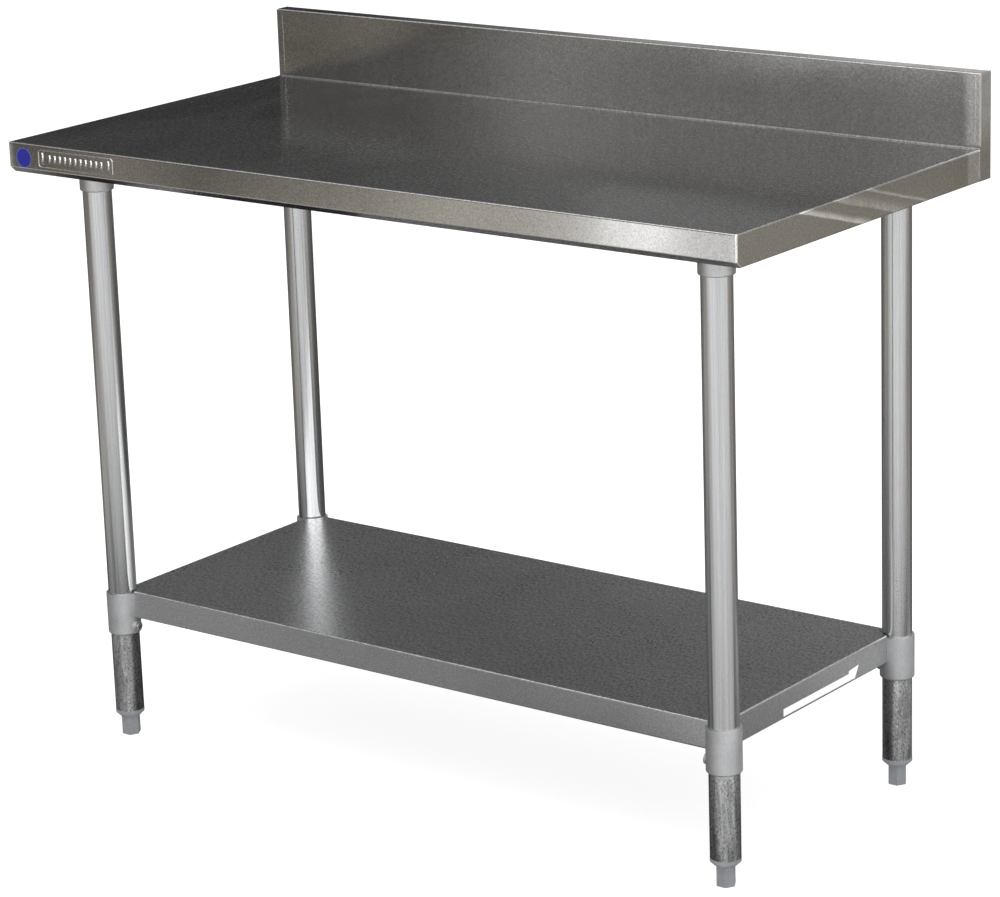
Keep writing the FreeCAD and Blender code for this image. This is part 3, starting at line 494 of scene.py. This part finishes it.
def new_piece(name, mesh, body, slot_name, smooth=True):
    """An object from a bmesh, riding on a body, with the finish of a slot."""
    bmesh.ops.recalc_face_normals(mesh, faces=mesh.faces)
    data = bpy.data.meshes.new(name)
    mesh.to_mesh(data)
    mesh.free()
    for face in data.polygons:
        face.use_smooth = smooth
    piece = bpy.data.objects.new(name, data)
    bpy.context.scene.collection.objects.link(piece)
    data.materials.append(MATERIALS[slot_name])
    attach(piece, body)
    return piece


ROUND_STEPS = 8
CORNER_STEPS = 5


def raised_rib(mesh, path, half_width, height, sunk, closed=False):
    """A rounded rib standing on the front skirt along a path of (x, z) points, closed with flat faces at
    its ends.
    """
    count = len(path)
    rings = []
    for index, (x, z) in enumerate(path):
        before = path[index - 1] if (closed or index > 0) else path[index]
        after = path[(index + 1) % count] if (closed or index < count - 1) else path[index]
        step = Vector((after[0] - before[0], after[1] - before[1])).normalized()
        side = Vector((-step.y, step.x))
        into = Vector((x - before[0], z - before[1]))
        out = Vector((after[0] - x, after[1] - z))
        stretch = 1.0
        if into.length > 0 and out.length > 0:
            turn = into.normalized().dot(out.normalized())
            stretch = 1 / math.sqrt(max(0.5, (1 + turn) / 2))
        ring = []
        for corner in range(ROUND_STEPS + 1):
            angle = math.pi * corner / ROUND_STEPS
            across = half_width * stretch * math.cos(angle)
            rise = height * math.sin(angle)
            ring.append(mesh.verts.new((x + side.x * across, SKIRT_FACE + sunk - sunk * (rise > 0) - rise,
                                        z + side.y * across)))
        rings.append(ring)
    pairs = list(zip(rings, rings[1:] + rings[:1])) if closed else list(zip(rings, rings[1:]))
    for first, second in pairs:
        for corner in range(ROUND_STEPS):
            mesh.faces.new((first[corner], first[corner + 1], second[corner + 1], second[corner]))
        mesh.faces.new((first[ROUND_STEPS], first[0], second[0], second[ROUND_STEPS]))
    if not closed:
        mesh.faces.new(rings[0])
        mesh.faces.new(list(reversed(rings[-1])))


def arc_points(middle_x, middle_z, radius, start, end, steps):
    """Evenly spaced (x, z) points along an arc, between two angles in degrees."""
    angles = [math.radians(start + (end - start) * step / steps) for step in range(steps + 1)]
    return [(middle_x + radius * math.cos(angle), middle_z + radius * math.sin(angle)) for angle in angles]


def rounded_frame(left, right, bottom, top, radius):
    """The outline of a rounded rectangle as (x, z) points."""
    points = arc_points(right - radius, top - radius, radius, 90, 0, CORNER_STEPS)
    points += arc_points(right - radius, bottom + radius, radius, 0, -90, CORNER_STEPS)
    points += arc_points(left + radius, bottom + radius, radius, -90, -180, CORNER_STEPS)
    points += arc_points(left + radius, top - radius, radius, 180, 90, CORNER_STEPS)
    return points


# a plain pressed badge on the front skirt: a thin frame, a post at each end and a row of equal bars
BADGE_LEFT = -0.552
BADGE_RIGHT = -0.412
BADGE_BOTTOM = 0.8585
BADGE_TOP = 0.8825
BADGE_MIDDLE = (BADGE_BOTTOM + BADGE_TOP) / 2
BAR_COUNT = 11
BAR_PITCH = 0.0098
POST_INSET = 0.0075
POST_REACH = 0.0085
BAR_REACH = 0.0062
POST_HALF_WIDTH = 0.0018
BAR_HALF_WIDTH = 0.0022
RIB_HEIGHT = 0.0014
FRAME_HALF_WIDTH = 0.0008
FRAME_HEIGHT = 0.0008
FRAME_RADIUS = 0.004
# how far the ribs' feet reach into the skirt
SUNK = 0.0003


def upright_rib(mesh, x, reach, half_width):
    """A short upright rib of the badge, about its middle height."""
    path = [(x, BADGE_MIDDLE + step) for step in (-reach, 0.0, reach)]
    raised_rib(mesh, path, half_width, RIB_HEIGHT, SUNK)


badge = bmesh.new()
frame_path = rounded_frame(BADGE_LEFT, BADGE_RIGHT, BADGE_BOTTOM, BADGE_TOP, FRAME_RADIUS)
raised_rib(badge, frame_path, FRAME_HALF_WIDTH, FRAME_HEIGHT, SUNK, closed=True)
for post_x in (BADGE_LEFT + POST_INSET, BADGE_RIGHT - POST_INSET):
    upright_rib(badge, post_x, POST_REACH, POST_HALF_WIDTH)
for bar in range(BAR_COUNT):
    bar_x = (BADGE_LEFT + BADGE_RIGHT) / 2 + BAR_PITCH * (bar - (BAR_COUNT - 1) / 2)
    upright_rib(badge, bar_x, BAR_REACH, BAR_HALF_WIDTH)
new_piece("skirt_badge", badge, "table_frame", "worktop_steel")


# weld beads: their sides, the step along them, how far their edges reach into the sheet, and the heights
# between which they run
BEAD_SIDES = 6
BEAD_STEP = 0.0012
BEAD_SUNK = 0.00001
SPLASH_BEAD_LOW = 0.8935
SPLASH_BEAD_HIGH = 0.9870
SEAM_BEAD_LOW = 0.8490
SEAM_BEAD_HIGH = 0.8850


def weld_bead(name, start, end, outward, half_width, height):
    """A bead ground nearly flush, with the slight ripple of a hand-run weld, along a straight seam."""
    mesh = bmesh.new()
    start, end, outward = Vector(start), Vector(end), Vector(outward).normalized()
    run = end - start
    side = run.normalized().cross(outward)
    steps = int(run.length / BEAD_STEP)
    rings = []
    for step in range(steps + 1):
        share = step / steps
        fade = min(1.0, 6 * min(share, 1 - share) + 0.25)
        ripple = 1 + 0.18 * math.sin(step * 1.9) + 0.12 * math.sin(step * 0.37 + 1.0)
        ring = []
        for corner in range(BEAD_SIDES + 1):
            point = start + run * share + side * half_width * ripple * (1 - 2 * corner / BEAD_SIDES)
            rise = height * fade * ripple * math.sin(math.pi * corner / BEAD_SIDES)
            if corner in (0, BEAD_SIDES):
                rise = -BEAD_SUNK
            ring.append(mesh.verts.new(point + outward * rise))
        rings.append(ring)
    for first, second in zip(rings, rings[1:]):
        for corner in range(BEAD_SIDES):
            mesh.faces.new((first[corner], first[corner + 1], second[corner + 1], second[corner]))
        mesh.faces.new((first[BEAD_SIDES], first[0], second[0], second[BEAD_SIDES]))
    mesh.faces.new(rings[0])
    mesh.faces.new(list(reversed(rings[-1])))
    new_piece(name, mesh, "table_frame", "worktop_steel")


# a weld up each end of the backsplash, and another down the seam in each end skirt
for side_name, way in (("right", 1), ("left", -1)):
    inside_x = way * CAP_INSIDE
    weld_bead(f"splash_weld_{side_name}", (inside_x, SPLASH_FACE, SPLASH_BEAD_LOW),
              (inside_x, SPLASH_FACE, SPLASH_BEAD_HIGH), (0, -1, 0), half_width=0.0011, height=0.00003)
    end_x = way * END_FACE
    weld_bead(f"seam_weld_{side_name}", (end_x, SEAM_PLACE, SEAM_BEAD_LOW),
              (end_x, SEAM_PLACE, SEAM_BEAD_HIGH), (way, 0, 0), half_width=0.0010, height=0.00012)


# threaded feet: a rolled 3/8-16 thread in place of the plain cylinder
PITCH = 0.0015875
ROWS_PER_TURN = 6
COLUMNS = 24
THREAD_DEPTH = 0.00085
CREST_END = 0.2
ROOT_START = 0.5
ROOT_END = 0.65


def thread_radius(share, crest):
    """The thread's radius at a share of its pitch: a crest, a flank, a root and a flank."""
    if share < CREST_END:
        return crest
    if share < ROOT_START:
        return crest - THREAD_DEPTH * (share - CREST_END) / (ROOT_START - CREST_END)
    if share < ROOT_END:
        return crest - THREAD_DEPTH
    return crest - THREAD_DEPTH * (1 - (share - ROOT_END) / (1 - ROOT_END))


def rolled_thread(low, high):
    """A threaded rod that fills the box from its low corner to its high one, with a bevel at each end."""
    middle_x = (low.x + high.x) / 2
    middle_y = (low.y + high.y) / 2
    crest = (high.x - low.x) / 2
    rows = int((high.z - low.z) / PITCH * ROWS_PER_TURN)
    rod = bmesh.new()
    grid = []
    for row in range(rows + 1):
        level = low.z + (high.z - low.z) * row / rows
        from_tip = min(level - low.z, high.z - level)
        ring = []
        for column in range(COLUMNS):
            share = ((level - low.z) / PITCH + column / COLUMNS) % 1.0
            radius = min(thread_radius(share, crest), crest - THREAD_DEPTH + from_tip)
            angle = math.tau * column / COLUMNS
            across, along = radius * math.cos(angle), radius * math.sin(angle)
            ring.append(rod.verts.new((middle_x + across, middle_y + along, level)))
        grid.append(ring)
    for first, second in zip(grid, grid[1:]):
        for column in range(COLUMNS):
            after = (column + 1) % COLUMNS
            rod.faces.new((first[column], first[after], second[after], second[column]))
    rod.faces.new(list(reversed(grid[0])))
    rod.faces.new(grid[-1])
    return rod


for corner_name in CORNERS:
    low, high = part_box(f"foot_screw_{corner_name}")
    screw = rolled_thread(low, high)
    thread = new_piece(f"foot_thread_{corner_name}", screw, f"foot_screw_{corner_name}",
                       "foot_screw_steel", smooth=False)
    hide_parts(f"foot_screw_{corner_name}")


# ---------------------------------------------------------------- studio

def ease(low, high, value):
    """Rises smoothly from 0 at low to 1 at high."""
    share = min(max((value - low) / (high - low), 0.0), 1.0)
    return share * share * (3 - 2 * share)


def turn_between(first, second):
    """The angle between two headings, in degrees, without its sign."""
    return abs((first - second + 180) % 360 - 180)


def through(points, value):
    """The level at a value, along straight lines through (value, level) points, held at both ends."""
    for (low, low_level), (high, high_level) in zip(points, points[1:]):
        if value < high:
            share = max(0.0, (value - low) / (high - low))
            return low_level + (high_level - low_level) * share
    return points[-1][1]


# the level low down behind the table and to its left, by heading in degrees
BACK_LEVELS = ((105.0, 0.56), (119.0, 0.56), (121.2, 0.345), (123.8, 0.345), (125.0, 0.30), (126.0, 0.185),
               (128.2, 0.105), (130.6, 0.021), (132.5, 0.024), (137.0, 0.027), (160.0, 0.2))
# the same in front of the table and to its left
FRONT_LEFT_LEVELS = ((-150.0, 0.12), (-130.6, 0.12), (-129.8, 0.15), (-129.1, 0.26), (-127.5, 0.345),
                     (-126.0, 0.26), (-124.0, 0.25), (-120.5, 0.275), (-110.0, 0.46))
UPPER_WALL_LEVEL = 0.058
UPPER_WALL_LEFT_EXTRA = 0.080
ROOM_LEVEL = 0.32
FRONT_LIGHT = 1.9
LOW_FRONT_LIGHT = 1.7
OVERHEAD_LIGHT = 1.9
FRONT_HEADING = -52.0
LEFT_REAR_HEADING = 150.0
# a dark gap in the overhead light
GAP_HEADING = 155.0
GAP_RISE = 47.0


def plateau(start, full, full_end, end, value):
    """One from full to full_end, falling smoothly to nothing at start and at end."""
    return ease(start, full, value) * (1 - ease(full_end, end, value))


def back_wall(heading, rise):
    """The level of the wall behind the table, and the wall's share of what is seen that way."""
    nearer_right = 1 - ease(128.0, 131.0, heading)
    foot = through(BACK_LEVELS, heading) * (1 + 0.45 * ease(11.0, 12.6, rise) * nearer_right)
    upper = UPPER_WALL_LEVEL + UPPER_WALL_LEFT_EXTRA * ease(128.8, 130.6, heading)
    higher = 12 * (1 - ease(126, 134, heading))
    share = plateau(90, 105, 160, 175, heading) * (1 - ease(24 + higher, 36 + higher, rise))
    return foot + (upper - foot) * ease(14.4, 17.0, rise), share


def sky_level(direction):
    """What the polished steel sees above the floor: a dim room, a dark wall behind the table, a broad soft
    light in front with a brighter part low down, and a light overhead that is weaker over the left rear."""
    heading = math.degrees(math.atan2(direction.y, direction.x))
    rise = math.degrees(math.asin(max(-1.0, min(1.0, direction.z))))
    level = ROOM_LEVEL
    wall, wall_share = back_wall(heading, rise)
    level += (wall - level) * wall_share
    low_down = plateau(-175, -150, -112, -100, heading) * (1 - ease(18, 30, rise))
    level += (through(FRONT_LEFT_LEVELS, heading) - level) * low_down
    aside = (heading - FRONT_HEADING + 180) % 360 - 180
    in_front = plateau(-60, -28, 60, 115, aside)
    level += FRONT_LIGHT * in_front * plateau(5, 12, 38, 50, rise)
    level += LOW_FRONT_LIGHT * in_front * plateau(8, 14, 20, 27, rise)
    weaker = 0.85 * (1 - ease(35, 75, turn_between(heading, LEFT_REAR_HEADING)))
    level += OVERHEAD_LIGHT * ease(34, 55, rise) * (1 - weaker * (1 - 0.85 * ease(60, 80, rise)))
    gap = (1 - ease(8, 16, turn_between(heading, GAP_HEADING))) * (1 - ease(7, 14, abs(rise - GAP_RISE)))
    level *= 1 - 0.75 * gap
    return level, 0.0


# the floor: its level by distance towards the front right, and by the way it lies from a point far behind
# the table's right end, in degrees, which makes long streaks that run away to the front left
NEAR_LEVELS = ((-0.5, 0.22), (0.0, 0.295), (0.1, 0.262), (0.2, 0.27), (0.3, 0.235), (0.42, 0.195),
               (0.52, 0.135), (0.60, 0.09), (0.64, 0.58), (1.05, 0.63), (1.5, 0.80), (1.8, 1.0))
STREAK_LEVELS = ((-136.0, 0.08), (-134.7, 0.10), (-133.6, 0.235), (-133.2, 0.17), (-132.4, 0.085),
                 (-131.7, 0.125), (-130.8, 0.21), (-129.9, 0.235), (-129.2, 0.33), (-128.1, 0.50),
                 (-127.8, 0.43), (-126.9, 0.51), (-126.2, 0.70), (-125.8, 1.20), (-125.5, 1.52),
                 (-124.8, 1.54), (-124.4, 0.87), (-122.0, 1.0), (-118.0, 1.1))
STREAK_X = 2.93
STREAK_Y = 3.18
# the direction that runs towards the front right
TOWARDS_X = 0.616
TOWARDS_Y = -0.788
# lighter and darker spots: x, y, the radius at full strength and the outer radius
FAR_BEHIND_SPOT = (2.68, 3.08, 0.30, 0.75)
CLOSE_BEHIND_SPOT = (0.86, 0.64, 0.05, 0.25)
LEFT_FRONT_SPOT = (-1.85, -1.20, 0.55, 0.95)
DARK_RIGHT_SPOT = (2.80, 1.20, 0.50, 0.95)


def inside_spot(x, y, spot):
    """One in the middle of a spot, falling smoothly to nothing at its outer radius."""
    middle_x, middle_y, full_radius, outer_radius = spot
    return 1 - ease(full_radius, outer_radius, math.hypot(x - middle_x, y - middle_y))


def floor_level(x, y):
    """What the polished steel sees on the floor: bright in front of the table, dim behind it, darker still
    under it and in a shadow to its left, with long streaks at the front left and a few lighter and darker
    spots. Its dim parts are warmer."""
    towards = TOWARDS_X * x + TOWARDS_Y * y
    level = through(NEAR_LEVELS, towards)
    heading = math.degrees(math.atan2(y - STREAK_Y, x - STREAK_X))
    left_front = ease(1.3, 1.9, math.hypot(x, y)) * ease(-0.3, 0.3, towards) * (1 - ease(2.7, 3.3, -x))
    level += max(0.0, 0.47 - level) * left_front
    to_left = TOWARDS_Y * x - TOWARDS_X * y
    streaks = ease(2.7, 3.1, -y) * ease(1.6, 2.2, to_left) * ease(0.1, 0.4, towards)
    level += (through(STREAK_LEVELS, heading) - level) * streaks
    behind = ease(0.3, 0.9, y) * (1 - ease(0.3, 1.4, x))
    level *= 1 - 0.55 * behind
    level += 0.06 * inside_spot(x, y, FAR_BEHIND_SPOT)
    level += 0.36 * inside_spot(x, y, CLOSE_BEHIND_SPOT)
    under = (1 - ease(0.50, 0.72, abs(x))) * (1 - ease(0.22, 0.42, abs(y)))
    level *= 1 - 0.85 * under
    level += max(0.0, 0.55 - level) * inside_spot(x, y, LEFT_FRONT_SPOT)
    level *= 1 - 0.6 * inside_spot(x, y, DARK_RIGHT_SPOT)
    shadow = plateau(-1.50, -1.32, -0.6, -0.4, x) * (1 - ease(0.12, 0.30, abs(y)))
    level *= 1 - 0.95 * shadow
    far = ease(1.2, 2.4, math.hypot(x, y)) * ease(-2.2, -1.4, towards)
    warm = 0.09 * (1 - ease(0.25, 0.9, level)) * far
    return level, warm


def light_card(name, mesh, level_at):
    """A surface that only reflections see. It shines with the level and warmth of each of its points."""
    data = bpy.data.meshes.new(name)
    mesh.to_mesh(data)
    mesh.free()
    levels = data.color_attributes.new("level", "FLOAT_COLOR", "POINT")
    for index, vertex in enumerate(data.vertices):
        level, warm = level_at(vertex.co)
        levels.data[index].color = grey(level, warm)
    material, tree, shader = new_material(name)
    tree.nodes.remove(shader)
    glow = tree.nodes.new("ShaderNodeEmission")
    paint = tree.nodes.new("ShaderNodeAttribute")
    paint.attribute_name = "level"
    tree.links.new(paint.outputs["Color"], glow.inputs["Color"])
    tree.links.new(glow.outputs[0], tree.nodes["Material Output"].inputs["Surface"])
    material.cycles.emission_sampling = "NONE"
    data.materials.append(material)
    card = bpy.data.objects.new(name, data)
    bpy.context.scene.collection.objects.link(card)
    for kind in ("camera", "diffuse", "transmission", "volume_scatter", "shadow"):
        setattr(card, f"visible_{kind}", False)


ROOM_RADIUS = 14.0
room = bmesh.new()
bmesh.ops.create_uvsphere(room, u_segments=360, v_segments=180, radius=ROOM_RADIUS)
light_card("room_reflection", room, lambda point: sky_level(point.normalized()))

CARD_HEIGHT = 0.002
CARD_STEPS = 400
CARD_REACH = 12.0


def spread_out(step):
    """A place across the floor card: the steps are closer together near the table."""
    share = 2 * step / CARD_STEPS - 1
    return CARD_REACH * (0.25 * share + 0.75 * share ** 3)


carpet = bmesh.new()
bmesh.ops.create_grid(carpet, x_segments=CARD_STEPS, y_segments=CARD_STEPS, size=1.0)
for vertex in carpet.verts:
    vertex.co.x = spread_out((vertex.co.x + 1) / 2 * CARD_STEPS)
    vertex.co.y = spread_out((vertex.co.y + 1) / 2 * CARD_STEPS)
    vertex.co.z = CARD_HEIGHT
light_card("floor_reflection", carpet, lambda point: floor_level(point.x, point.y))

FLOOR_HALF = 60.0
floor_mesh = bpy.data.meshes.new("studio_floor")
floor_corners = [(FLOOR_HALF * across, FLOOR_HALF * along, 0)
                 for across, along in ((-1, -1), (1, -1), (1, 1), (-1, 1))]
floor_mesh.from_pydata(floor_corners, [], [(0, 1, 2, 3)])
floor = bpy.data.objects.new("studio_floor", floor_mesh)
bpy.context.scene.collection.objects.link(floor)
floor_material, _, floor_shader = new_material("pale_floor")
floor_shader.inputs["Base Color"].default_value = (0.36, 0.36, 0.36, 1.0)
floor_shader.inputs["Roughness"].default_value = 0.9
floor_shader.inputs["Specular IOR Level"].default_value = 0.1
floor_shader.inputs["Emission Color"].default_value = (1.0, 1.0, 1.0, 1.0)
floor_shader.inputs["Emission Strength"].default_value = 0.80
floor_mesh.materials.append(floor_material)


def soft_light(name, place, aim, size, power):
    """A square soft light that lights matt surfaces. Polished ones see the room instead."""
    data = bpy.data.lights.new(name, "AREA")
    data.shape = "SQUARE"
    data.size = size
    data.energy = power
    light = bpy.data.objects.new(name, data)
    bpy.context.scene.collection.objects.link(light)
    light.location = place
    light.rotation_euler = (Vector(aim) - Vector(place)).to_track_quat("-Z", "Y").to_euler()
    light.visible_camera = False
    light.visible_glossy = False


soft_light("overhead_light", (0.6, -1.2, 4.2), (0, 0, 0.3), 4.0, 150)
soft_light("front_light", (3.6, -3.0, 2.6), (0, 0, 0.5), 2.4, 50)

world = bpy.data.worlds.new("studio")
world.use_nodes = True
world.node_tree.nodes["Background"].inputs["Color"].default_value = (0.98, 0.99, 1.0, 1.0)
world.node_tree.nodes["Background"].inputs["Strength"].default_value = 1.0
bpy.context.scene.world = world
bpy.context.scene.view_settings.view_transform = "Standard"


# ---------------------------------------------------------------- camera

CAMERA_PLACE = Vector((2.93254, -3.78979, 1.83046))
CAMERA_AIM = Vector((0.0, 0.00725, 0.45480))
CAMERA_ROLL = -1.90085
SENSOR_WIDTH = 36.0
FOCAL_LENGTH = 3.5702324 * SENSOR_WIDTH

camera_data = bpy.data.cameras.new("camera")
camera_data.sensor_fit = "HORIZONTAL"
camera_data.sensor_width = SENSOR_WIDTH
camera_data.lens = FOCAL_LENGTH
camera_data.clip_end = 200.0
camera = bpy.data.objects.new("camera", camera_data)
bpy.context.scene.collection.objects.link(camera)
camera.location = CAMERA_PLACE
straight = (CAMERA_AIM - CAMERA_PLACE).to_track_quat("-Z", "Y")
camera.rotation_mode = "QUATERNION"
camera.rotation_quaternion = straight @ Quaternion((0, 0, 1), math.radians(CAMERA_ROLL))
bpy.context.scene.camera = camera
